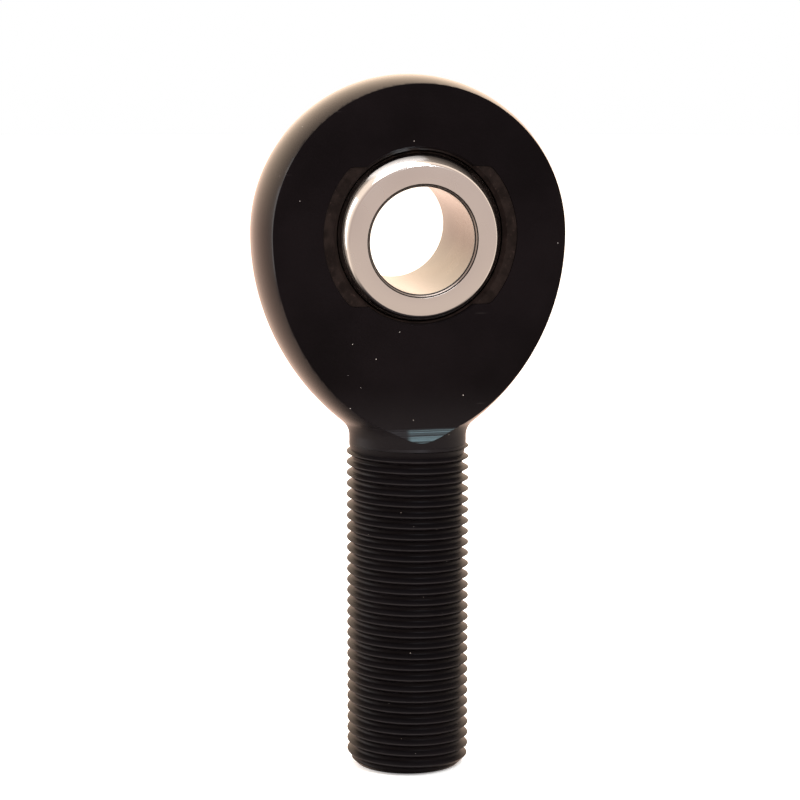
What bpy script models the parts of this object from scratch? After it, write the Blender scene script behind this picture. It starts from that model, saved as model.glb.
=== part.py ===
"""Rod end bearing: a round-headed body with a threaded shank, a moulded race and a ball.

Metres, +Z up. The shank stands on its end face at z = 0, the head is at the top,
and the pivot axis of the head runs along Y.
"""
import math

import bmesh
import bpy
from mathutils import Matrix, Vector

MM = 0.001

# Head
HEAD_RADIUS = 20.1 * MM          # round outline above the pivot
HEAD_WIDTH = 13.5 * MM           # across the two flats
FLANK_RADIUS = 30.8 * MM         # pear-shaped arc from the head down to the neck
PIVOT_HEIGHT = 69.3 * MM         # pivot centre above the shank's end face
NECK_RADIUS = 7.55 * MM          # plain neck between the head and the thread
NECK_FILLET = 2.5 * MM
NECK_LENGTH = 0.9 * MM
RUNOUT_LENGTH = 1.7 * MM         # ramp where each flat runs out at the neck

# Shank and thread (5/8"-18, right-hand)
THREAD_RADIUS = 7.9 * MM
THREAD_PITCH = 25.4 / 18 * MM
THREAD_DEPTH = 0.57 * THREAD_PITCH
END_CHAMFER = 1.2 * MM

# Ball
BALL_RADIUS = 12.3 * MM
BALL_WIDTH = 15.6 * MM
BORE_RADIUS = 6.75 * MM
BORE_CHAMFER = 0.45 * MM
BALL_TILT = math.radians(4.0)    # how far the free ball leans forward at rest

# Race moulded between the ball and the head
RUNNING_GAP = 0.10 * MM
RACE_WALL = 0.30 * MM
SEAT_GAP = 0.10 * MM
SLOT_CLEARANCE = 0.9 * MM        # the loading slot is a little taller than the ball is wide
SLOT_CORNER = 1.3 * MM
LEAD_IN = 0.35 * MM              # chamfer round the head's opening
RACE_CHAMFER = 0.7 * MM          # deeper chamfer on the race inside it
SLOT_RADIUS = BALL_RADIUS + 0.25 * MM
RACE_RECESS = 0.08 * MM          # race faces sit just under the flats

# Facets
HEAD_SEGMENTS = 72
BALL_SEGMENTS = 72
THREAD_SEGMENTS = 24             # per turn; HEAD_SEGMENTS is a multiple of it

SLOT_HALF_HEIGHT = BALL_WIDTH / 2 + SLOT_CLEARANCE
CAVITY_RADIUS = BALL_RADIUS + RUNNING_GAP + RACE_WALL + SEAT_GAP
PIVOT = Vector((0, 0, PIVOT_HEIGHT))
FLAT = HEAD_WIDTH / 2


def clear_scene():
    for thing in list(bpy.data.objects):
        bpy.data.objects.remove(thing, do_unlink=True)


def make_material(name, colour, metallic, roughness):
    material = bpy.data.materials.new(name)
    material.use_nodes = True
    shader = material.node_tree.nodes["Principled BSDF"]
    shader.inputs["Base Color"].default_value = (*colour, 1)
    shader.inputs["Metallic"].default_value = metallic
    shader.inputs["Roughness"].default_value = roughness
    material.diffuse_color = (*colour, 1)
    return material


def make_object(name, bm, material=None):
    bmesh.ops.recalc_face_normals(bm, faces=bm.faces)
    mesh = bpy.data.meshes.new(name)
    bm.to_mesh(mesh)
    bm.free()
    thing = bpy.data.objects.new(name, mesh)
    bpy.context.scene.collection.objects.link(thing)
    if material:
        mesh.materials.append(material)
    return thing


def revolve(profile, segments, axis="Z", loop=False):
    """Solid from (radius, height) points: a loop is a ring, otherwise the ends are capped."""
    bm = bmesh.new()
    rings = []
    for radius, height in profile:
        if radius < 1e-9:
            rings.append([bm.verts.new((0, 0, height))])
            continue
        ring = []
        for i in range(segments):
            angle = 2 * math.pi * i / segments
            ring.append(bm.verts.new((radius * math.cos(angle), radius * math.sin(angle), height)))
        rings.append(ring)
    for lower, upper in zip(rings, rings[1:] + (rings[:1] if loop else [])):
        for i in range(segments):
            j = (i + 1) % segments
            if len(lower) == 1:
                bm.faces.new((lower[0], upper[j], upper[i]))
            elif len(upper) == 1:
                bm.faces.new((lower[i], lower[j], upper[0]))
            else:
                bm.faces.new((lower[i], lower[j], upper[j], upper[i]))
    if not loop:
        for ring in (rings[0], rings[-1]):
            if len(ring) > 1:
                bm.faces.new(ring)
    if axis == "Y":
        bmesh.ops.rotate(bm, verts=bm.verts, matrix=Matrix.Rotation(math.radians(90), 3, "X"))
    return bm


def prism_along_x(outline, half_length):
    """Prism whose (y, z) outline runs from -half_length to half_length along X."""
    bm = bmesh.new()
    left = [bm.verts.new((-half_length, y, z)) for y, z in outline]
    right = [bm.verts.new((half_length, y, z)) for y, z in outline]
    bm.faces.new(left)
    bm.faces.new(right[::-1])
    for i in range(len(outline)):
        j = (i + 1) % len(outline)
        bm.faces.new((left[i], right[i], right[j], left[j]))
    return bm


def sphere_cutter(radius, segments, rows):
    profile = []
    for i in range(rows + 1):
        angle = math.pi * i / rows
        profile.append((radius * math.sin(angle) if 0 < i < rows else 0, -radius * math.cos(angle)))
    return revolve(profile, segments, "Y")


def combine(target, bm, operation):
    """Apply a boolean of target with a temporary solid, in place."""
    other = make_object("cutter", bm)
    other.hide_render = True
    other.display_type = "WIRE"
    modifier = target.modifiers.new("cut", "BOOLEAN")
    modifier.operation = operation
    modifier.solver = "EXACT"
    modifier.object = other
    bpy.context.view_layer.update()
    graph = bpy.context.evaluated_depsgraph_get()
    mesh = bpy.data.meshes.new_from_object(target.evaluated_get(graph))
    target.modifiers.clear()
    old = target.data
    target.data = mesh
    bpy.data.meshes.remove(old)
    bpy.data.objects.remove(other, do_unlink=True)


def shade(thing, degrees):
    thing.data.shade_smooth()
    thing.data.set_sharp_from_angle(angle=math.radians(degrees))


def head_profile():
    """(radius, height) from the neck's lower end up to the crown, round the pivot.

    Also the height where the neck's fillet meets the flank arc.
    """
    arc_centre = HEAD_RADIUS - FLANK_RADIUS
    fillet_x = NECK_RADIUS + NECK_FILLET
    joined = FLANK_RADIUS + NECK_FILLET
    angle = math.acos((fillet_x - arc_centre) / joined)
    fillet_z = -joined * math.sin(angle)
    points = [(NECK_RADIUS, fillet_z - NECK_LENGTH)]
    steps = 4
    for i in range(steps):
        turn = angle * i / steps
        points.append((fillet_x - NECK_FILLET * math.cos(turn), fillet_z + NECK_FILLET * math.sin(turn)))
    steps = 9
    for i in range(steps):
        turn = -angle * (1 - i / steps)
        points.append((arc_centre + FLANK_RADIUS * math.cos(turn), FLANK_RADIUS * math.sin(turn)))
    steps = 13
    for i in range(steps):
        turn = math.pi / 2 * i / steps
        points.append((HEAD_RADIUS * math.cos(turn), HEAD_RADIUS * math.sin(turn)))
    points.append((0, HEAD_RADIUS))
    return points, fillet_z


def thread_radius(height, cut, crest):
    """Radius of one thread line: cut goes from 0 at the plain neck to 1 at full thread."""
    full = THREAD_RADIUS if crest else THREAD_RADIUS - THREAD_DEPTH
    radius = NECK_RADIUS + (full - NECK_RADIUS) * cut
    cone = THREAD_RADIUS - END_CHAMFER + height
    return min(radius, cone)


def add_thread(thing, neck_bottom):
    """Swap the neck's flat bottom for a helical thread down to the shank's end."""
    bm = bmesh.new()
    bm.from_mesh(thing.data)
    cap = min((f for f in bm.faces if f.normal.z < -0.99), key=lambda f: f.calc_center_median().z)
    ring = sorted(cap.verts, key=lambda v: math.atan2(v.co.y, v.co.x) % (2 * math.pi))
    bmesh.ops.delete(bm, geom=[cap], context="FACES_ONLY")
    per_turn, per_step = THREAD_SEGMENTS, HEAD_SEGMENTS // THREAD_SEGMENTS

    # four lines per pitch: root edge, crest edge, crest edge, root edge
    lines = ((0.0, False), (0.34, True), (0.42, True), (0.76, False))
    start = neck_bottom - 0.25 * THREAD_PITCH
    turns = int((start - 0.45 * THREAD_PITCH) / THREAD_PITCH) - 1
    rails = []
    for offset, crest in lines:
        rail = []
        for t in range(per_turn * turns + (per_turn if offset == 0 else 0) + 1):
            angle = 2 * math.pi * t / per_turn
            height = start - (offset + t / per_turn) * THREAD_PITCH
            radius = thread_radius(height, min(1, t / (1.25 * per_turn)), crest)
            # the thread winds clockwise going down, which is right-hand
            rail.append(bm.verts.new((radius * math.cos(-angle), radius * math.sin(-angle), height)))
        rails.append(rail)
    last = per_turn * turns
    for t in range(last):
        for a, b in zip(rails, rails[1:]):
            bm.faces.new((a[t], a[t + 1], b[t + 1], b[t]))
        bm.faces.new((rails[3][t], rails[3][t + 1], rails[0][t + 1 + per_turn], rails[0][t + per_turn]))

    def neck(step):
        return ring[(-step) % HEAD_SEGMENTS]

    # close the neck's ring onto the first turn
    for t in range(per_turn):
        upper = [neck(per_step * t + k) for k in range(per_step + 1)]
        lower = [rails[0][t + 1], rails[0][t]]
        if t == per_turn - 1:
            lower = [rail[0] for rail in rails] + [rails[0][per_turn], rails[0][t]]
        bm.faces.new(upper + lower)

    # close the last turn onto the end face
    end_radius = THREAD_RADIUS - END_CHAMFER
    end = []
    for t in range(per_turn):
        angle = -2 * math.pi * (last + t) / per_turn
        end.append(bm.verts.new((end_radius * math.cos(angle), end_radius * math.sin(angle), 0)))
    for t in range(per_turn):
        upper = [rails[0][last + t], rails[0][last + t + 1]]
        if t == 0:
            upper = [rails[0][last + per_turn]] + [rail[last] for rail in rails[:0:-1]] + upper
        lower = [end[(t + 1) % per_turn], end[t]]
        bm.faces.new(upper + lower)
    bm.faces.new(end)
    bmesh.ops.recalc_face_normals(bm, faces=bm.faces)
    bmesh.ops.triangulate(bm, faces=[f for f in bm.faces if len(f.verts) > 4])
    bm.to_mesh(thing.data)
    bm.free()


def opening_radius():
    """Where the spherical cavity breaks through the flats."""
    return math.sqrt(CAVITY_RADIUS ** 2 - FLAT ** 2)


def cut_lead_in(thing, radius, depth, face):
    """Cone at 45 degrees round the pivot axis at both faces, radius wide at the face."""
    over = 0.5 * MM
    for side in (-1, 1):
        cone = revolve(
            [(radius - depth, side * (face - depth)), (radius + over, side * (face + over))],
            BALL_SEGMENTS + 7, "Y",
        )
        bmesh.ops.translate(cone, verts=cone.verts, vec=PIVOT)
        combine(thing, cone, "DIFFERENCE")


def build_body(material):
    profile, neck_top = head_profile()
    profile = [(r, z + PIVOT_HEIGHT) for r, z in profile]
    neck_top += PIVOT_HEIGHT
    body = make_object("rod_end_body", revolve(profile, HEAD_SEGMENTS), material)
    top = PIVOT_HEIGHT + 1.5 * HEAD_RADIUS
    outer = 2 * HEAD_RADIUS
    slope = (NECK_RADIUS - FLAT) / RUNOUT_LENGTH
    overrun = 0.4 * MM
    for side in (-1, 1):
        outline = [
            (side * FLAT, top),
            (side * outer, top),
            (side * outer, neck_top - overrun),
            (side * (NECK_RADIUS + slope * overrun), neck_top - overrun),
            (side * FLAT, neck_top + RUNOUT_LENGTH),
        ]
        combine(body, prism_along_x(outline, outer), "DIFFERENCE")
    cavity = sphere_cutter(CAVITY_RADIUS, BALL_SEGMENTS, 36)
    bmesh.ops.translate(cavity, verts=cavity.verts, vec=PIVOT)
    combine(body, cavity, "DIFFERENCE")
    combine(body, slot_solid(SLOT_RADIUS, SLOT_HALF_HEIGHT, SLOT_CORNER, 2 * FLAT), "DIFFERENCE")
    cut_lead_in(body, opening_radius() + LEAD_IN, LEAD_IN, FLAT)
    add_thread(body, neck_top - NECK_LENGTH)
    shade(body, 32)
    return body


def slot_solid(radius, half_height, corner, half_length):
    """Round-sided, flat-topped loading slot along Y with rounded corners, round the pivot."""
    corner_x = math.sqrt((radius - corner) ** 2 - (half_height - corner) ** 2)
    limit = math.atan2(half_height - corner, corner_x)
    quarter = []
    steps = 7
    for i in range(steps):
        angle = limit * i / steps
        quarter.append((radius * math.cos(angle), radius * math.sin(angle)))
    steps = 5
    for i in range(steps + 1):
        angle = limit + (math.pi / 2 - limit) * i / steps
        quarter.append((corner_x + corner * math.cos(angle), half_height - corner + corner * math.sin(angle)))
    upper = quarter + [(-x, z) for x, z in quarter[::-1]]
    outline = upper + [(x, -z) for x, z in upper[::-1]][1:-1]
    bm = bmesh.new()
    front = [bm.verts.new((x, -half_length, z + PIVOT_HEIGHT)) for x, z in outline]
    back = [bm.verts.new((x, half_length, z + PIVOT_HEIGHT)) for x, z in outline]
    bm.faces.new(front)
    bm.faces.new(back[::-1])
    for i in range(len(outline)):
        j = (i + 1) % len(outline)
        bm.faces.new((front[i], back[i], back[j], front[j]))
    return bm


def build_race(material):
    face = FLAT - RACE_RECESS
    inner, outer = BALL_RADIUS + RUNNING_GAP, BALL_RADIUS + RUNNING_GAP + RACE_WALL
    limit = math.asin(face / outer)
    steps = 12
    profile = []
    for i in range(steps + 1):
        angle = -limit + 2 * limit * i / steps
        profile.append((outer * math.cos(angle), outer * math.sin(angle)))
    bm = revolve(profile, BALL_SEGMENTS, "Y")
    bmesh.ops.translate(bm, verts=bm.verts, vec=PIVOT)
    race = make_object("moulded_race", bm, material)
    lobes = slot_solid(
        SLOT_RADIUS - SEAT_GAP, SLOT_HALF_HEIGHT - SEAT_GAP, SLOT_CORNER - SEAT_GAP, face - 0.02 * MM
    )
    combine(race, lobes, "UNION")
    cut_lead_in(race, opening_radius() + LEAD_IN, RACE_CHAMFER, face)
    hollow = sphere_cutter(inner, BALL_SEGMENTS, 36)
    bmesh.ops.translate(hollow, verts=hollow.verts, vec=PIVOT)
    combine(race, hollow, "DIFFERENCE")
    shade(race, 30)
    return race


def build_ball(material):
    half = BALL_WIDTH / 2
    profile = [
        (BORE_RADIUS, -half + BORE_CHAMFER),
        (BORE_RADIUS + BORE_CHAMFER, -half),
    ]
    limit = math.asin(half / BALL_RADIUS)
    steps = 14
    for i in range(steps + 1):
        angle = -limit + 2 * limit * i / steps
        profile.append((BALL_RADIUS * math.cos(angle), BALL_RADIUS * math.sin(angle)))
    profile += [
        (BORE_RADIUS + BORE_CHAMFER, half),
        (BORE_RADIUS, half - BORE_CHAMFER),
    ]
    ball = make_object("ball", revolve(profile, BALL_SEGMENTS, "Y", loop=True), material)
    ball.location = PIVOT
    ball.rotation_euler = (BALL_TILT, 0, 0)
    shade(ball, 30)
    return ball


clear_scene()
build_body(make_material("black_oxide_steel", (0.02, 0.02, 0.022), 0.9, 0.28))
build_race(make_material("moulded_liner", (0.055, 0.045, 0.04), 0.0, 0.5))
build_ball(make_material("polished_steel", (0.78, 0.75, 0.74), 1.0, 0.14))
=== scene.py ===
"""Rod end bearing, finished: turned and threaded body, moulded race, polished ball."""
import math

import bpy
import bmesh
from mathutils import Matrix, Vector


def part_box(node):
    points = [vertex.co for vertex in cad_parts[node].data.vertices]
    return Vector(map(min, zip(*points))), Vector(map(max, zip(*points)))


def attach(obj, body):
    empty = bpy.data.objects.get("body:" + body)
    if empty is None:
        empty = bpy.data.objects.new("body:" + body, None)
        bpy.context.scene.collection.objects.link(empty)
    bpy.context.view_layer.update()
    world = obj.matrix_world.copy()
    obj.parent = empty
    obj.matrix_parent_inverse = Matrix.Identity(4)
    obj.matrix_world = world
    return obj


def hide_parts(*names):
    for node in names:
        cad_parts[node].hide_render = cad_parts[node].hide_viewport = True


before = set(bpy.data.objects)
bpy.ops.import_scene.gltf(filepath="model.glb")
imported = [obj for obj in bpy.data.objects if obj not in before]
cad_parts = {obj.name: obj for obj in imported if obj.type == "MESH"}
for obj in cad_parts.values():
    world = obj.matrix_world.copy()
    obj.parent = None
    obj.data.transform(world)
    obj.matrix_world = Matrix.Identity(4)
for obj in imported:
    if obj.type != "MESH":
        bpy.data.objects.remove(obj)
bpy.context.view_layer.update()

MM = 0.001

# ---------------------------------------------------------------- sizes
body_low, body_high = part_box("rod_end_body")
ball_low, ball_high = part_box("ball")
PIVOT_Z = (ball_low.z + ball_high.z) / 2
HEAD_RADIUS = body_high.z - PIVOT_Z
FLANK_RADIUS = 30.8 * MM
HALF_WIDTH = 6.75 * MM              # pivot to each flat of the head
FLAT_EDGE = 0.22 * MM               # rounding where a flat meets the turned side
NECK_RADIUS = 7.55 * MM
NECK_FILLET = 2.5 * MM
NECK_LENGTH = 0.9 * MM
RUNOUT_LENGTH = 1.7 * MM            # ramp where each flat runs out at the neck

SHANK_RADIUS = 7.9 * MM
PITCH = 25.4 / 18 * MM
THREAD_DEPTH = 0.57 * PITCH
CREST_ROUND = 0.08 * MM
THREAD_PHASE = -0.37                # turns by which the first crest is moved round the shank
END_CHAMFER = 1.2 * MM

BALL_RADIUS = 12.3 * MM
BALL_HALF_WIDTH = 7.8 * MM
BALL_EDGE = 0.12 * MM
BORE_RADIUS = 6.75 * MM
BORE_CHAMFER = 0.45 * MM
BALL_TILT = math.radians(4.0)       # how far the free ball leans forward at rest

RACE_INNER = 12.4 * MM
RACE_OUTER = 12.7 * MM
CAVITY_RADIUS = 12.8 * MM
SLOT_RADIUS = 12.55 * MM
SLOT_HALF_HEIGHT = 8.7 * MM
SLOT_CORNER = 1.3 * MM
SLOT_SEAM = 0.04 * MM               # hairline between the race's lobes and the slots
LEAD_IN = 0.35 * MM
RACE_CHAMFER = 0.7 * MM
RACE_FACE = 6.67 * MM               # pivot to each flat side of the race

FLANK_CENTRE = HEAD_RADIUS - FLANK_RADIUS
FILLET_X = NECK_RADIUS + NECK_FILLET
NECK_ANGLE = math.acos((FILLET_X - FLANK_CENTRE) / (FLANK_RADIUS + NECK_FILLET))
NECK_TOP = PIVOT_Z - (FLANK_RADIUS + NECK_FILLET) * math.sin(NECK_ANGLE)
THREAD_TOP = NECK_TOP - NECK_LENGTH
RUNOUT_TOP = NECK_TOP + RUNOUT_LENGTH
RUNOUT_SLOPE = (NECK_RADIUS - HALF_WIDTH) / RUNOUT_LENGTH
OPENING_RADIUS = math.sqrt(CAVITY_RADIUS ** 2 - HALF_WIDTH ** 2)

# Steps round a full turn. Most solids differ from their tools, so that edges do not line up.
HEAD_STEPS = 192
BALL_STEPS = 192
BLANK_STEPS = 181
SPHERE_STEPS = 160
CONE_STEPS = 157
THREAD_STEPS = 97

OVERRUN = 0.5 * MM                  # how far a cutter goes past the face that it cuts
TINY = 0.01 * MM                    # smaller than any feature


# ---------------------------------------------------------------- workshop
def deselect_all():
    if bpy.context.object and bpy.context.object.mode != "OBJECT":
        bpy.ops.object.mode_set(mode="OBJECT")
    bpy.ops.object.select_all(action="DESELECT")


def start_editing(piece):
    deselect_all()
    bpy.context.view_layer.objects.active = piece
    piece.select_set(True)
    bpy.ops.object.mode_set(mode="EDIT")
    bpy.ops.mesh.select_mode(type="VERT")


def stop_editing():
    bpy.ops.object.mode_set(mode="OBJECT")
    bpy.ops.object.select_all(action="DESELECT")


def draw_line(name, points):
    """A line through (x, z) points, drawn by extruding one vertex from place to place."""
    deselect_all()
    bpy.ops.mesh.primitive_plane_add(size=1 * MM, location=(0, 0, 0))
    line = bpy.context.object
    line.name = line.data.name = name
    start_editing(line)
    bpy.ops.mesh.select_all(action="SELECT")
    bpy.ops.mesh.merge(type="CENTER")
    bpy.ops.transform.translate(value=(points[0][0], 0, points[0][1]))
    for (x0, z0), (x1, z1) in zip(points, points[1:]):
        bpy.ops.mesh.extrude_region_move(
            TRANSFORM_OT_translate={"value": (x1 - x0, 0, z1 - z0)})
    return line


def spin_round(name, points, steps, along="Z", closed=False):
    """Turn a profile of (radius, height) points through a full circle; closed joins its ends."""
    piece = draw_line(name, points)
    if closed:
        bpy.ops.mesh.select_all(action="DESELECT")
        bpy.ops.object.mode_set(mode="OBJECT")
        piece.data.vertices[0].select = True
        piece.data.vertices[-1].select = True
        bpy.ops.object.mode_set(mode="EDIT")
        bpy.ops.mesh.edge_face_add()
    bpy.ops.mesh.select_all(action="SELECT")
    bpy.ops.mesh.spin(steps=steps, angle=2 * math.pi, center=(0, 0, 0), axis=(0, 0, 1))
    bpy.ops.mesh.select_all(action="SELECT")
    bpy.ops.mesh.remove_doubles(threshold=0.0005 * MM)
    bpy.ops.mesh.normals_make_consistent(inside=False)
    if along == "Y":
        bpy.ops.transform.rotate(value=math.radians(90), orient_axis="X",
                                 center_override=(0, 0, 0))
    stop_editing()
    return piece


def shift(piece, offset):
    start_editing(piece)
    bpy.ops.mesh.select_all(action="SELECT")
    bpy.ops.transform.translate(value=offset)
    stop_editing()
    return piece


def apply(piece, modifier):
    deselect_all()
    bpy.context.view_layer.objects.active = piece
    piece.select_set(True)
    bpy.ops.object.modifier_apply(modifier=modifier.name)
    piece.select_set(False)


def combine(piece, tool, operation):
    """Cut with, join to or keep what is shared with a tool solid, which is used up."""
    modifier = piece.modifiers.new(operation.title(), "BOOLEAN")
    modifier.operation = operation
    modifier.solver = "EXACT"
    modifier.object = tool
    apply(piece, modifier)
    bpy.data.objects.remove(tool, do_unlink=True)
    return piece


def select_edges(piece, wanted):
    """In edit mode, select the edges between two faces that wanted(edge) picks."""
    mesh = bmesh.from_edit_mesh(piece.data)
    bpy.ops.mesh.select_mode(type="EDGE")
    bpy.ops.mesh.select_all(action="DESELECT")
    for edge in mesh.edges:
        if len(edge.link_faces) == 2 and wanted(edge):
            edge.select_set(True)
    mesh.select_flush_mode()
    bmesh.update_edit_mesh(piece.data)


def bevel_where(piece, wanted, width, segments=3):
    start_editing(piece)
    select_edges(piece, wanted)
    bpy.ops.mesh.bevel(offset=width, offset_type="OFFSET", segments=segments,
                       profile=0.5, clamp_overlap=True)
    bpy.ops.mesh.select_all(action="SELECT")
    bpy.ops.mesh.remove_doubles(threshold=0.001 * MM)
    stop_editing()


def smooth(piece, degrees):
    deselect_all()
    bpy.context.view_layer.objects.active = piece
    piece.select_set(True)
    bpy.ops.object.shade_smooth_by_angle(angle=math.radians(degrees))
    piece.select_set(False)


def arc(radius, centre_x, centre_z, start, end, steps):
    """Points along an arc, both ends included, angles in radians from +X towards +Z."""
    points = []
    for i in range(steps + 1):
        angle = start + (end - start) * i / steps
        points.append((centre_x + radius * math.cos(angle), centre_z + radius * math.sin(angle)))
    return points


# ---------------------------------------------------------------- body
def flat_cutter(side):
    """Block that mills one flat, with the ramp its cutter leaves where it runs out at the neck."""
    deselect_all()
    bpy.ops.mesh.primitive_cube_add(size=1, location=(0, 0, 0))
    block = bpy.context.object
    start_editing(block)
    bpy.ops.mesh.select_all(action="SELECT")
    top = PIVOT_Z + 1.6 * HEAD_RADIUS
    length = 90 * MM
    depth = 30 * MM
    bpy.ops.transform.resize(value=(length, depth, top - RUNOUT_TOP))
    bpy.ops.transform.translate(value=(0, side * (HALF_WIDTH + depth / 2), (top + RUNOUT_TOP) / 2))
    mesh = bmesh.from_edit_mesh(block.data)
    bpy.ops.mesh.select_mode(type="FACE")
    bpy.ops.mesh.select_all(action="DESELECT")
    for face in mesh.faces:
        face.select_set(face.normal.z < -0.9)
    bmesh.update_edit_mesh(block.data)
    drop = RUNOUT_LENGTH + OVERRUN
    bpy.ops.mesh.extrude_region_move(TRANSFORM_OT_translate={"value": (0, 0, -drop)})
    bpy.ops.mesh.select_mode(type="VERT")
    mesh = bmesh.from_edit_mesh(block.data)
    low = min(v.co.z for v in mesh.verts)
    for vert in mesh.verts:
        vert.select_set(vert.co.z < low + TINY and abs(vert.co.y) < HALF_WIDTH + TINY)
    mesh.select_flush_mode()
    bmesh.update_edit_mesh(block.data)
    bpy.ops.transform.translate(value=(0, side * RUNOUT_SLOPE * drop, 0))
    stop_editing()
    return block


def slot_block(radius, half_height, corner, half_length):
    """Loading slot: round at the sides, flat above and below, rounded at its four corners."""
    corner_x = math.sqrt((radius - corner) ** 2 - (half_height - corner) ** 2)
    limit = math.atan2(half_height - corner, corner_x)
    quarter = arc(radius, 0, 0, 0, limit, 18)[:-1]
    quarter += arc(corner, corner_x, half_height - corner, limit, math.pi / 2, 8)
    upper = quarter + [(-x, z) for x, z in quarter[::-1]]
    block = draw_line("slot", upper + [(x, -z) for x, z in upper[::-1]][1:-1])
    bpy.ops.mesh.select_all(action="SELECT")
    bpy.ops.mesh.edge_face_add()
    bpy.ops.transform.translate(value=(0, -half_length, PIVOT_Z))
    bpy.ops.mesh.extrude_region_move(
        TRANSFORM_OT_translate={"value": (0, 2 * half_length, 0)})
    bpy.ops.mesh.select_all(action="SELECT")
    bpy.ops.mesh.normals_make_consistent(inside=False)
    stop_editing()
    return block


def ball_hollow(radius):
    """Solid ball round the pivot, used to hollow a piece out."""
    points = arc(radius, 0, 0, -math.pi / 2, math.pi / 2, 64)
    points[0], points[-1] = (0, -radius), (0, radius)
    return shift(spin_round("hollow", points, SPHERE_STEPS, along="Y"), (0, 0, PIVOT_Z))


def cut_lead_in(piece, radius, depth, face):
    """Turn a 45 degree chamfer round the pivot axis at both faces, radius wide at the face."""
    for side in (-1, 1):
        inner, outer = side * (face - depth), side * (face + OVERRUN)
        cone = spin_round("lead_in", [(0, inner), (radius - depth, inner), (radius + OVERRUN, outer),
                                      (0, outer)], CONE_STEPS, along="Y")
        combine(piece, shift(cone, (0, 0, PIVOT_Z)), "DIFFERENCE")


def threaded_rod():
    """Long helical thread, rounded at crest and root, capped at both ends."""
    root = SHANK_RADIUS - THREAD_DEPTH
    flank = math.radians(30)
    # straight flanks leave this much radius for the two rounds together
    both_rounds = (PITCH / 2 - THREAD_DEPTH * math.tan(flank)) / math.tan(flank)
    root_round = both_rounds - CREST_ROUND
    half_section = [(x, -z) for x, z in arc(
        root_round, root + root_round, 0, math.pi, math.pi + math.radians(90) - flank, 5)]
    half_section += [(x, PITCH / 2 - z) for x, z in arc(
        CREST_ROUND, SHANK_RADIUS - CREST_ROUND, 0, math.radians(90) - flank, 0, 4)]
    half_section[-1] = (SHANK_RADIUS, PITCH / 2)
    section = half_section[:-1] + [(x, PITCH - z) for x, z in half_section[::-1]]
    top = THREAD_TOP + (1.5 + THREAD_PHASE) * PITCH
    rod = draw_line("rod", [(x, top - z) for x, z in section])
    stop_editing()
    screw = rod.modifiers.new("Screw", "SCREW")
    screw.axis = "Z"
    screw.angle = 2 * math.pi
    screw.screw_offset = -PITCH
    screw.iterations = int(top / PITCH) + 3
    screw.steps = screw.render_steps = THREAD_STEPS
    screw.use_merge_vertices = False
    apply(rod, screw)
    start_editing(rod)
    bpy.ops.mesh.select_all(action="SELECT")
    bpy.ops.mesh.remove_doubles(threshold=0.002 * MM)
    cap = 2 * MM
    for upper_end in (True, False):
        bpy.ops.mesh.select_mode(type="EDGE")
        bpy.ops.mesh.select_all(action="DESELECT")
        mesh = bmesh.from_edit_mesh(rod.data)
        for edge in mesh.edges:
            if edge.is_boundary and (edge.verts[0].co.z > top / 2) == upper_end:
                edge.select_set(True)
        bmesh.update_edit_mesh(rod.data)
        bpy.ops.mesh.extrude_region_move(
            TRANSFORM_OT_translate={"value": (0, 0, cap if upper_end else -cap)})
        bpy.ops.mesh.merge(type="CENTER")
    bpy.ops.mesh.select_all(action="SELECT")
    bpy.ops.mesh.normals_make_consistent(inside=False)
    stop_editing()
    return rod


def rims_a_flat(edge):
    """True for a sharp edge round one of the two milled flats."""
    if edge.calc_face_angle() < math.radians(16):
        return False
    return all(abs(abs(vert.co.y) - HALF_WIDTH) < 0.002 * MM for vert in edge.verts)


def make_head():
    """Turned head and neck, milled flat on two sides, bored and slotted for the race."""
    # below the neck, a plug fills the first turns of the thread as a run-out cone
    plug_foot = THREAD_TOP - 2.0 * PITCH
    outline = [(0, plug_foot), (SHANK_RADIUS - THREAD_DEPTH - 0.15 * MM, plug_foot),
               (NECK_RADIUS, THREAD_TOP - 0.2 * PITCH), (NECK_RADIUS, THREAD_TOP)]
    outline += [(FILLET_X - x, z) for x, z in arc(NECK_FILLET, 0, NECK_TOP, 0, NECK_ANGLE, 10)]
    outline += arc(FLANK_RADIUS, FLANK_CENTRE, PIVOT_Z, -NECK_ANGLE, 0, 40)[1:]
    outline += arc(HEAD_RADIUS, 0, PIVOT_Z, 0, math.pi / 2, 48)[1:-1]
    outline += [(0, PIVOT_Z + HEAD_RADIUS)]
    head = spin_round("body", outline, HEAD_STEPS)
    for side in (-1, 1):
        combine(head, flat_cutter(side), "DIFFERENCE")
    bevel_where(head, rims_a_flat, FLAT_EDGE)
    combine(head, ball_hollow(CAVITY_RADIUS), "DIFFERENCE")
    cut_lead_in(head, OPENING_RADIUS + LEAD_IN, LEAD_IN, HALF_WIDTH)
    half_length = 12 * MM
    slot = slot_block(SLOT_RADIUS, SLOT_HALF_HEIGHT, SLOT_CORNER, half_length)
    return combine(head, slot, "DIFFERENCE")


def make_shank():
    """Threaded rod cut to length: chamfered at the foot, eased into the neck at the top."""
    over = SHANK_RADIUS + 0.1 * MM
    foot_radius = SHANK_RADIUS - END_CHAMFER
    joint = THREAD_TOP + 0.2 * PITCH
    blank = spin_round("blank", [
        (0, 0), (foot_radius - 0.1 * MM, 0), (foot_radius + 0.06 * MM, 0.04 * MM),
        (over, END_CHAMFER + 0.1 * MM), (over, THREAD_TOP - 0.45 * PITCH),
        (NECK_RADIUS - 0.15 * MM, joint), (0, joint)], BLANK_STEPS)
    return combine(blank, threaded_rod(), "INTERSECT")


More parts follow.
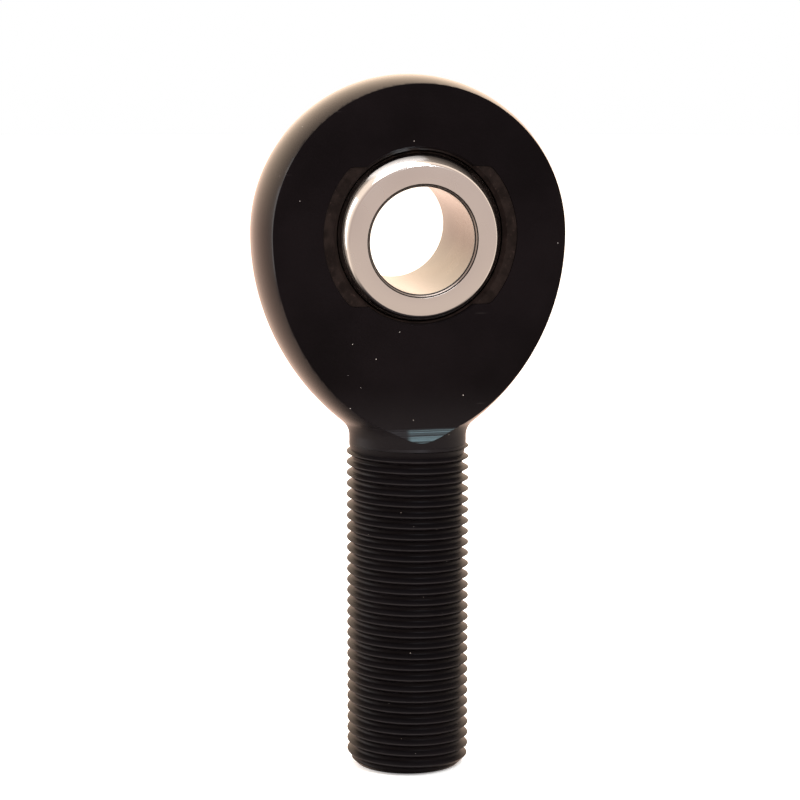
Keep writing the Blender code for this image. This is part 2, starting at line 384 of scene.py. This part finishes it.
# ---------------------------------------------------------------- race and ball
def make_race():
    """Moulded shell between ball and head, with a lobe in each loading slot."""
    limit = math.asin(RACE_FACE / RACE_OUTER)
    points = arc(RACE_OUTER, 0, 0, -limit, limit, 24)
    race = spin_round("race", [(0, -RACE_FACE)] + points + [(0, RACE_FACE)], SPHERE_STEPS, along="Y")
    shift(race, (0, 0, PIVOT_Z))
    combine(race, slot_block(SLOT_RADIUS - SLOT_SEAM, SLOT_HALF_HEIGHT - SLOT_SEAM,
                             SLOT_CORNER - SLOT_SEAM, RACE_FACE - TINY), "UNION")
    cut_lead_in(race, OPENING_RADIUS + LEAD_IN, RACE_CHAMFER, RACE_FACE)
    return combine(race, ball_hollow(RACE_INNER), "DIFFERENCE")


def make_ball():
    """Ball with two flat ring faces and a chamfered bore, leaning as it does at rest."""
    half = BALL_HALF_WIDTH
    rim = math.asin((half - BALL_EDGE) / BALL_RADIUS)
    face = math.sqrt(BALL_RADIUS ** 2 - half ** 2)
    side = [(BORE_RADIUS, 0), (BORE_RADIUS, half - BORE_CHAMFER),
            (BORE_RADIUS + BORE_CHAMFER, half), (face - 1.2 * BALL_EDGE, half),
            (face - 0.45 * BALL_EDGE, half - 0.18 * BALL_EDGE)]
    outside = arc(BALL_RADIUS, 0, 0, rim, -rim, 56)
    other = [(r, -z) for r, z in side[::-1]]
    ball = spin_round("ball_finish", side + outside + other[:-1], BALL_STEPS, along="Y", closed=True)
    start_editing(ball)
    bpy.ops.mesh.select_all(action="SELECT")
    bpy.ops.transform.rotate(value=-BALL_TILT, orient_axis="X", center_override=(0, 0, 0))
    stop_editing()
    return shift(ball, (0, 0, PIVOT_Z))


def finished(piece, name, angle):
    """Name a piece and shade it smooth up to an edge angle in degrees."""
    piece.name = piece.data.name = name
    smooth(piece, angle)
    return piece


body = finished(combine(make_head(), make_shank(), "UNION"), "body_finish", 28)
race = finished(make_race(), "race_finish", 30)
ball = finished(make_ball(), "ball_finish", 30)


# ---------------------------------------------------------------- finishes
# Linear colours. Each material also keeps a plain colour, for a viewer that ignores its nodes.
OXIDE_DARK = (0.0018, 0.0013, 0.0016, 1)
OXIDE_LIGHT = (0.0036, 0.0026, 0.0031, 1)
OXIDE_AT_NECK = (0.0125, 0.0110, 0.0118, 1)
# thread crests: rubbed oxide, partly a painted highlight
OXIDE_RUBBED_AND_HIGHLIGHT = (0.0125, 0.0108, 0.0112, 1)
SCRATCH = (0.12, 0.105, 0.10, 1)
DUST = (0.34, 0.31, 0.29, 1)
# run-out ramps: milled bare steel, partly a painted highlight
MILLED_STEEL_AND_HIGHLIGHT = (0.050, 0.072, 0.080, 1)
RACE_DARK = (0.0046, 0.0026, 0.0022, 1)
RACE_LIGHT = (0.0100, 0.0058, 0.0048, 1)
RACE_FIBRE = (0.018, 0.011, 0.0095, 1)
STEEL_DARK = (0.56, 0.54, 0.53, 1)
STEEL_LIGHT = (0.63, 0.60, 0.59, 1)
HONED_DARK = (0.085, 0.080, 0.070, 1)
HONED_LIGHT = (0.130, 0.120, 0.104, 1)
# bore chamfer: painted shade, near black along its edges
CHAMFER_STEEL = (0.30, 0.26, 0.24, 1)
CHAMFER_EDGE_SHADE = (0.010, 0.007, 0.006, 1)
STEEL_SPECK = (0.32, 0.28, 0.26, 1)


def new_material(name):
    material = bpy.data.materials.new(name)
    material.use_nodes = True
    shader = material.node_tree.nodes["Principled BSDF"]
    return material, material.node_tree, shader


def set_inputs(shader, **values):
    for name, value in values.items():
        shader.inputs[name.replace("_", " ")].default_value = value


def add_node(tree, kind, **settings):
    node = tree.nodes.new(kind)
    for name, value in settings.items():
        setattr(node, name, value)
    return node


def feed(tree, socket, source):
    """Set an input from a number, a colour or another node's output."""
    if hasattr(source, "is_output"):
        tree.links.new(source, socket)
    else:
        socket.default_value = source


def math_node(tree, operation, *sources):
    node = add_node(tree, "ShaderNodeMath", operation=operation)
    for socket, source in zip(node.inputs, sources):
        feed(tree, socket, source)
    return node.outputs[0]


def map_range(tree, value, low, high, out_low=0.0, out_high=1.0):
    """Smooth step from out_low at low to out_high at high."""
    node = add_node(tree, "ShaderNodeMapRange", interpolation_type="SMOOTHSTEP")
    for name, source in (("Value", value), ("From Min", low), ("From Max", high),
                         ("To Min", out_low), ("To Max", out_high)):
        feed(tree, node.inputs[name], source)
    return node.outputs["Result"]


def mix_colour(tree, factor, first, second):
    """Mix node in its colour mode, whose colour sockets are inputs 6 and 7 and output 2."""
    node = add_node(tree, "ShaderNodeMix", data_type="RGBA")
    feed(tree, node.inputs["Factor"], factor)
    feed(tree, node.inputs[6], first)
    feed(tree, node.inputs[7], second)
    return node.outputs[2]


def noise(tree, vector, scale, detail=2.0, dimensions="3D"):
    """Noise value from 0 to 1; with one dimension, vector is a single number."""
    node = add_node(tree, "ShaderNodeTexNoise", noise_dimensions=dimensions)
    if dimensions == "1D":
        feed(tree, node.inputs["W"], vector)
    else:
        feed(tree, node.inputs["Vector"], vector)
    node.inputs["Scale"].default_value = scale
    node.inputs["Detail"].default_value = detail
    return node.outputs[0]


def new_group(name, inputs, outputs):
    """Node group with named sockets; inputs are (name, kind, default)."""
    group = bpy.data.node_groups.new(name, "ShaderNodeTree")
    for title, kind, default in inputs:
        socket = group.interface.new_socket(title, in_out="INPUT", socket_type=kind)
        if default is not None:
            socket.default_value = default
    for title, kind in outputs:
        group.interface.new_socket(title, in_out="OUTPUT", socket_type=kind)
    return group, group.nodes.new("NodeGroupInput").outputs, group.nodes.new("NodeGroupOutput").inputs


def make_specks_group():
    """Sparse bits of dust and lint: a mask that is 1 on a speck."""
    group, given, result = new_group("dust_specks", [
        ("Vector", "NodeSocketVector", None), ("Density", "NodeSocketFloat", 0.1),
        ("Size", "NodeSocketFloat", 0.1), ("Scale", "NodeSocketFloat", 400.0)],
        [("Mask", "NodeSocketFloat")])
    cells = add_node(group, "ShaderNodeTexVoronoi", feature="F1")
    feed(group, cells.inputs["Vector"], given["Vector"])
    feed(group, cells.inputs["Scale"], given["Scale"])
    pick = add_node(group, "ShaderNodeSeparateColor")
    group.links.new(cells.outputs["Color"], pick.inputs[0])
    chosen = math_node(group, "LESS_THAN", pick.outputs[0], given["Density"])
    size = math_node(group, "MULTIPLY", given["Size"], math_node(group, "ADD", pick.outputs[1], 0.35))
    near = math_node(group, "LESS_THAN", cells.outputs["Distance"], size)
    group.links.new(math_node(group, "MULTIPLY", chosen, near), result["Mask"])
    return group


def make_scratches_group():
    """Thin, short handling scratches in two directions: a mask."""
    group, given, result = new_group("handling_scratches", [
        ("Vector", "NodeSocketVector", None), ("Amount", "NodeSocketFloat", 0.5)],
        [("Mask", "NodeSocketFloat")])
    masks = []
    for turn, stretch in (((0.2, 0.5, 0.9), (1400, 1400, 60)), ((0.9, 0.3, -0.6), (60, 1700, 1700))):
        place = add_node(group, "ShaderNodeMapping")
        feed(group, place.inputs["Vector"], given["Vector"])
        place.inputs["Rotation"].default_value = turn
        place.inputs["Scale"].default_value = stretch
        grain = noise(group, place.outputs[0], 1.0, 1.0)
        masks.append(map_range(group, grain, 0.735, 0.76))
    both = math_node(group, "MAXIMUM", *masks)
    patches = map_range(group, noise(group, given["Vector"], 160.0, 1.0), 0.55, 0.7)
    some = math_node(group, "MULTIPLY", both, patches)
    group.links.new(math_node(group, "MULTIPLY", some, given["Amount"]), result["Mask"])
    return group


def make_rings_group():
    """Turning marks round an axis: fine and coarse rings from the distance to it."""
    group, given, result = new_group("turning_rings", [
        ("Distance", "NodeSocketFloat", 0.0), ("Spacing", "NodeSocketFloat", 9000.0)],
        [("Height", "NodeSocketFloat")])
    lead = math_node(group, "MULTIPLY", given["Distance"], given["Spacing"])
    fine = noise(group, lead, 1.0, 2.0, "1D")
    coarse = noise(group, math_node(group, "MULTIPLY", lead, 0.17), 1.0, 1.0, "1D")
    mixed = math_node(group, "ADD", fine, math_node(group, "MULTIPLY", coarse, 0.6))
    group.links.new(mixed, result["Height"])
    return group


def length_of(tree, first, second):
    """Distance from an axis, from the two coordinates across it."""
    return math_node(tree, "SQRT", math_node(
        tree, "ADD", math_node(tree, "MULTIPLY", first, first),
        math_node(tree, "MULTIPLY", second, second)))


def use_group(tree, group, **inputs):
    node = add_node(tree, "ShaderNodeGroup", node_tree=group)
    for name, source in inputs.items():
        feed(tree, node.inputs[name], source)
    return node.outputs[0]


def add_bump(tree, height, strength, distance, normal=None):
    node = add_node(tree, "ShaderNodeBump")
    feed(tree, node.inputs["Height"], height)
    node.inputs["Strength"].default_value = strength
    node.inputs["Distance"].default_value = distance
    if normal is not None:
        feed(tree, node.inputs["Normal"], normal)
    return node.outputs[0]


def object_place(tree, centre=(0, 0, 0), turn=(0, 0, 0)):
    """Object coordinates, centred and turned; also split into x, y and z."""
    coordinates = add_node(tree, "ShaderNodeTexCoord")
    place = add_node(tree, "ShaderNodeMapping", vector_type="TEXTURE")
    place.inputs["Location"].default_value = centre
    place.inputs["Rotation"].default_value = turn
    tree.links.new(coordinates.outputs["Object"], place.inputs["Vector"])
    split = add_node(tree, "ShaderNodeSeparateXYZ")
    tree.links.new(place.outputs[0], split.inputs[0])
    return place.outputs[0], split.outputs


def finish_black(groups):
    """Black oxide over fine machining, with a thin oily gloss, dust and a few scratches."""
    material, tree, shader = new_material("black_oxide")
    set_inputs(shader, Base_Color=(0.003, 0.0026, 0.0026, 1), Metallic=0.0, Roughness=0.2,
               Specular_IOR_Level=0.05, Specular_Tint=(1.0, 0.94, 0.98, 1))
    vector, (x, y, z) = object_place(tree)
    specks = use_group(tree, groups["specks"], Vector=vector, Density=0.55, Size=0.034, Scale=620.0)
    scratches = use_group(tree, groups["scratches"], Vector=vector, Amount=1.0)
    tone = mix_colour(tree, map_range(tree, noise(tree, vector, 90.0, 4.0), 0.3, 0.75),
                      OXIDE_DARK, OXIDE_LIGHT)
    tone = mix_colour(tree, math_node(tree, "MULTIPLY", scratches, 0.12), tone, SCRATCH)

    # lighter, bluer tone round the neck, fading out up the head and weaker on the thread below
    near_neck = math_node(tree, "MULTIPLY", map_range(tree, z, NECK_TOP + 8 * MM, NECK_TOP),
                          map_range(tree, z, THREAD_TOP - PITCH, THREAD_TOP, 0.3, 1.0))
    tone = mix_colour(tree, math_node(tree, "MULTIPLY", near_neck, 0.5), tone, OXIDE_AT_NECK)
    tone = mix_colour(tree, specks, tone, DUST)

    # the crests of the thread are painted a little lighter: partly rubbed oxide, partly a painted
    # highlight along each crest
    crest_wear_and_highlight = math_node(tree, "MULTIPLY", map_range(
        tree, length_of(tree, x, y), SHANK_RADIUS - 0.09 * MM, SHANK_RADIUS - 0.03 * MM),
                         map_range(tree, z, THREAD_TOP + 0.5 * PITCH, THREAD_TOP))
    tone = mix_colour(tree, crest_wear_and_highlight, tone, OXIDE_RUBBED_AND_HIGHLIGHT)

    # the cutter left each run-out ramp as bare steel; its brightness, most of all towards one side,
    # is a painted highlight
    ramp_y = math_node(tree, "MULTIPLY_ADD", z, -RUNOUT_SLOPE, HALF_WIDTH + RUNOUT_TOP * RUNOUT_SLOPE)
    off_ramp = math_node(tree, "ABSOLUTE", math_node(
        tree, "SUBTRACT", math_node(tree, "ABSOLUTE", y), ramp_y))
    on_runout = math_node(tree, "MULTIPLY", map_range(tree, off_ramp, 0.035 * MM, 0.015 * MM),
                          map_range(tree, z, RUNOUT_TOP + 0.03 * MM, RUNOUT_TOP - 0.03 * MM))
    mill_lines = use_group(tree, groups["rings"], Distance=z, Spacing=5200.0)
    across = math_node(tree, "MULTIPLY", x, math_node(tree, "SIGN", y))
    runout_steel_and_highlight = math_node(tree, "MULTIPLY", on_runout, map_range(tree, mill_lines, 0.55, 1.05))
    runout_steel_and_highlight = math_node(tree, "MULTIPLY", runout_steel_and_highlight, map_range(tree, across, 2.1 * MM, 1.3 * MM))
    tone = mix_colour(tree, runout_steel_and_highlight, tone, MILLED_STEEL_AND_HIGHLIGHT)
    tree.links.new(tone, shader.inputs["Base Color"])
    tree.links.new(math_node(tree, "MULTIPLY", runout_steel_and_highlight, 0.55), shader.inputs["Metallic"])

    on_shank = map_range(tree, z, NECK_TOP + 3.0 * MM, NECK_TOP + 0.5 * MM)
    roughness = map_range(tree, noise(tree, vector, 35.0, 3.0), 0.3, 0.7, 0.17, 0.25)
    for mask, more in ((on_shank, 0.22), (specks, 0.5)):
        roughness = math_node(tree, "ADD", roughness, math_node(tree, "MULTIPLY", mask, more))
    tree.links.new(roughness, shader.inputs["Roughness"])

    # lathe lines on the turned sides, mill lines on the run-outs, fine orange peel all over
    turned = use_group(tree, groups["rings"], Distance=z, Spacing=7000.0)
    normal = add_bump(tree, turned, 0.05, 0.02 * MM)
    milled = math_node(tree, "MULTIPLY", mill_lines, on_runout)
    normal = add_bump(tree, milled, 0.9, 0.09 * MM, normal)
    normal = add_bump(tree, noise(tree, vector, 900.0, 2.0), 0.05, 0.02 * MM, normal)
    tree.links.new(normal, shader.inputs["Normal"])
    return material


def finish_race():
    """Dark moulded composite: matt, faintly brown and mottled."""
    material, tree, shader = new_material("moulded_race")
    set_inputs(shader, Base_Color=(0.012, 0.009, 0.008, 1), Roughness=0.45, Specular_IOR_Level=0.07)
    vector = object_place(tree)[0]
    mottle = noise(tree, vector, 700.0, 5.0)
    fibres = noise(tree, vector, 2600.0, 2.0)
    tone = mix_colour(tree, map_range(tree, mottle, 0.35, 0.7), RACE_DARK, RACE_LIGHT)
    tone = mix_colour(tree, map_range(tree, fibres, 0.62, 0.78), tone, RACE_FIBRE)
    tree.links.new(tone, shader.inputs["Base Color"])
    tree.links.new(map_range(tree, mottle, 0.3, 0.7, 0.36, 0.55), shader.inputs["Roughness"])
    tree.links.new(add_bump(tree, mottle, 0.25, 0.03 * MM), shader.inputs["Normal"])
    return material


def finish_ball(groups):
    """Steel ball: polished round the outside, turned on the ring faces, honed dull in the bore."""
    material, tree, shader = new_material("polished_ball")
    set_inputs(shader, Base_Color=(0.66, 0.61, 0.59, 1), Metallic=1.0, Roughness=0.14,
               IOR=1.15)
    vector, (x, y, z) = object_place(tree, (0, 0, PIVOT_Z), (BALL_TILT, 0, 0))
    radius = length_of(tree, x, z)
    on_face = map_range(tree, math_node(tree, "ABSOLUTE", y), BALL_HALF_WIDTH - 0.03 * MM,
                        BALL_HALF_WIDTH - 0.01 * MM)
    in_bore = map_range(tree, radius, BORE_RADIUS + 0.06 * MM, BORE_RADIUS + 0.02 * MM)
    chamfer_ring = math_node(
        tree, "MULTIPLY",
        map_range(tree, radius, BORE_RADIUS + 0.02 * MM, BORE_RADIUS + 0.05 * MM),
        map_range(tree, radius, BORE_RADIUS + BORE_CHAMFER + 0.02 * MM, BORE_RADIUS + BORE_CHAMFER))
    on_chamfer = math_node(tree, "MULTIPLY", chamfer_ring, math_node(tree, "SUBTRACT", 1.0, on_face))

    cloudy = noise(tree, vector, 120.0, 3.0)
    tone = mix_colour(tree, cloudy, STEEL_DARK, STEEL_LIGHT)
    honed = mix_colour(tree, map_range(tree, cloudy, 0.35, 0.65), HONED_DARK, HONED_LIGHT)
    tone = mix_colour(tree, in_bore, tone, honed)

    # painted shade: the chamfer is painted darker than the ball's steel, and near black along both of
    # its edges
    off_middle = math_node(tree, "ABSOLUTE", math_node(
        tree, "SUBTRACT", radius, BORE_RADIUS + 0.5 * BORE_CHAMFER))
    edge_shade_mask = map_range(tree, off_middle, 0.03 * MM, 0.09 * MM)
    chamfer_tone = mix_colour(tree, edge_shade_mask, CHAMFER_STEEL, CHAMFER_EDGE_SHADE)
    tone = mix_colour(tree, on_chamfer, tone, chamfer_tone)
    specks = use_group(tree, groups["specks"], Vector=vector, Density=0.05, Size=0.06, Scale=620.0)
    tone = mix_colour(tree, math_node(tree, "MULTIPLY", specks, 0.7), tone, STEEL_SPECK)
    tree.links.new(tone, shader.inputs["Base Color"])

    roughness = map_range(tree, cloudy, 0.3, 0.7, 0.07, 0.12)
    for mask, more in ((on_face, 0.17), (in_bore, 0.12), (on_chamfer, 0.25)):
        roughness = math_node(tree, "ADD", roughness, math_node(tree, "MULTIPLY", mask, more))
    tree.links.new(roughness, shader.inputs["Roughness"])

    metallic = math_node(tree, "MULTIPLY_ADD", in_bore, -0.55, 1.0)
    # the painted edge shade also takes metallic away along the chamfer's edges
    edge_shade_on_metallic = math_node(tree, "MULTIPLY", math_node(tree, "MULTIPLY", edge_shade_mask, on_chamfer), 0.9)
    tree.links.new(math_node(tree, "SUBTRACT", metallic, edge_shade_on_metallic), shader.inputs["Metallic"])

    face_rings = math_node(tree, "MULTIPLY", use_group(
        tree, groups["rings"], Distance=radius, Spacing=8000.0), on_face)
    bore_rings = math_node(tree, "MULTIPLY", use_group(
        tree, groups["rings"], Distance=y, Spacing=6000.0), in_bore)
    rings = math_node(tree, "ADD", face_rings, math_node(tree, "MULTIPLY", bore_rings, 0.6))
    tree.links.new(add_bump(tree, rings, 0.22, 0.01 * MM), shader.inputs["Normal"])
    return material


def dress(piece, material, body_name, node):
    piece.data.materials.clear()
    piece.data.materials.append(material)
    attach(piece, body_name)
    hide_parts(node)


groups = {"specks": make_specks_group(), "scratches": make_scratches_group(),
          "rings": make_rings_group()}
dress(body, finish_black(groups), "rod_end", "rod_end_body")
dress(race, finish_race(), "rod_end", "moulded_race")
dress(ball, finish_ball(groups), "ball_body", "ball")


# ---------------------------------------------------------------- studio
def make_floor():
    """White paper just under the foot; reflections see the room's darkness below instead."""
    deselect_all()
    bpy.ops.mesh.primitive_circle_add(vertices=96, radius=3.0, fill_type="NGON",
                                      location=(0, 0, -0.2 * MM))
    floor = bpy.context.object
    floor.name = "studio_floor"
    material, tree, shader = new_material("studio_paper")
    set_inputs(shader, Base_Color=(0.93, 0.93, 0.93, 1), Roughness=0.9,
               Emission_Color=(1, 1, 1, 1), Emission_Strength=0.3)
    floor.data.materials.append(material)
    floor.visible_glossy = False


# light of the room from each direction
ROOM_BELOW = (0.06, 0.05, 0.05, 1)
ROOM_FRONT_LOW = (1.05, 0.87, 0.74, 1)
ROOM_FRONT_HIGH = (0.84, 0.68, 0.60, 1)
ROOM_SIDES = (1.65, 1.40, 1.18, 1)
ROOM_BEHIND_LOW = (2.6, 1.80, 1.42, 1)
ROOM_BEHIND_HIGH = (3.9, 3.0, 2.25, 1)
SEEN_WHITE = (1, 1, 1, 1)


def make_world():
    """Warm white room: brightest high behind, dimmest in front, dark below; seen as white."""
    world = bpy.data.worlds.new("studio")
    bpy.context.scene.world = world
    world.use_nodes = True
    tree = world.node_tree
    tree.nodes.clear()
    coordinates = add_node(tree, "ShaderNodeTexCoord")
    split = add_node(tree, "ShaderNodeSeparateXYZ")
    tree.links.new(coordinates.outputs["Generated"], split.inputs[0])
    y, z = split.outputs[1], split.outputs[2]
    front = mix_colour(tree, map_range(tree, z, -0.35, -0.15), ROOM_FRONT_LOW, ROOM_FRONT_HIGH)
    light = mix_colour(tree, map_range(tree, y, -0.5, 0.0), front, ROOM_SIDES)
    sweep = mix_colour(tree, map_range(tree, z, -0.1, 0.4), ROOM_BEHIND_LOW, ROOM_BEHIND_HIGH)
    light = mix_colour(tree, map_range(tree, y, 0.45, 0.85), light, sweep)
    light = mix_colour(tree, map_range(tree, z, -0.85, -0.45), ROOM_BELOW, light)
    seen = add_node(tree, "ShaderNodeLightPath").outputs["Is Camera Ray"]
    light = mix_colour(tree, seen, light, SEEN_WHITE)
    background = add_node(tree, "ShaderNodeBackground")
    output = add_node(tree, "ShaderNodeOutputWorld")
    tree.links.new(light, background.inputs["Color"])
    background.inputs["Strength"].default_value = 1.0
    tree.links.new(background.outputs[0], output.inputs[0])


def add_softbox(name, place, target, size, power, colour=(1, 1, 1)):
    """Rectangular lamp of a size in metres and a power in watts, aimed at target."""
    light = bpy.data.lights.new(name, "AREA")
    light.shape = "RECTANGLE"
    light.size, light.size_y = size
    light.energy = power
    light.color = colour
    lamp = bpy.data.objects.new(name, light)
    bpy.context.scene.collection.objects.link(lamp)
    lamp.location = place
    lamp.rotation_mode = "QUATERNION"
    lamp.rotation_quaternion = (Vector(target) - Vector(place)).to_track_quat("-Z", "Y")


CAMERA_AZIMUTH = math.radians(-14.64)
CAMERA_ELEVATION = math.radians(7.97)
CAMERA_DISTANCE = 301.0 * MM
CAMERA_ASIDE = 0.97 * MM
CAMERA_BELOW = 21.35 * MM
LENS = 106.1                        # in millimetres, as is the sensor
SENSOR_WIDTH = 36


def make_camera():
    """Camera that looks along its azimuth and elevation, set a little aside and below the pivot."""
    data = bpy.data.cameras.new("camera")
    data.lens = LENS
    data.sensor_width = SENSOR_WIDTH
    data.clip_start = 0.01
    camera = bpy.data.objects.new("camera", data)
    bpy.context.scene.collection.objects.link(camera)
    a, e = CAMERA_AZIMUTH, CAMERA_ELEVATION
    back = Vector((math.sin(a) * math.cos(e), -math.cos(a) * math.cos(e), math.sin(e)))
    turn = (-back).to_track_quat("-Z", "Y")
    right, up = turn @ Vector((1, 0, 0)), turn @ Vector((0, 1, 0))
    pivot = Vector((0, 0, PIVOT_Z))
    camera.location = pivot + back * CAMERA_DISTANCE - right * CAMERA_ASIDE - up * CAMERA_BELOW
    camera.rotation_mode = "QUATERNION"
    camera.rotation_quaternion = turn
    bpy.context.scene.camera = camera


make_floor()
make_world()
add_softbox("top_softbox", (-0.1, -0.1, 0.7), (0, 0, 0.05), (0.5, 0.5), 3.0)
add_softbox("left_softbox", (-0.7, 0.25, 0.2), (0, 0, 0.06), (0.5, 0.7), 6.0)
add_softbox("front_high_softbox", (0.13, -0.46, 0.5), (0, 0, 0.045), (0.16, 0.16), 3.2,
            (0.86, 0.95, 1.0))
make_camera()
bpy.context.scene.view_settings.view_transform = "Standard"
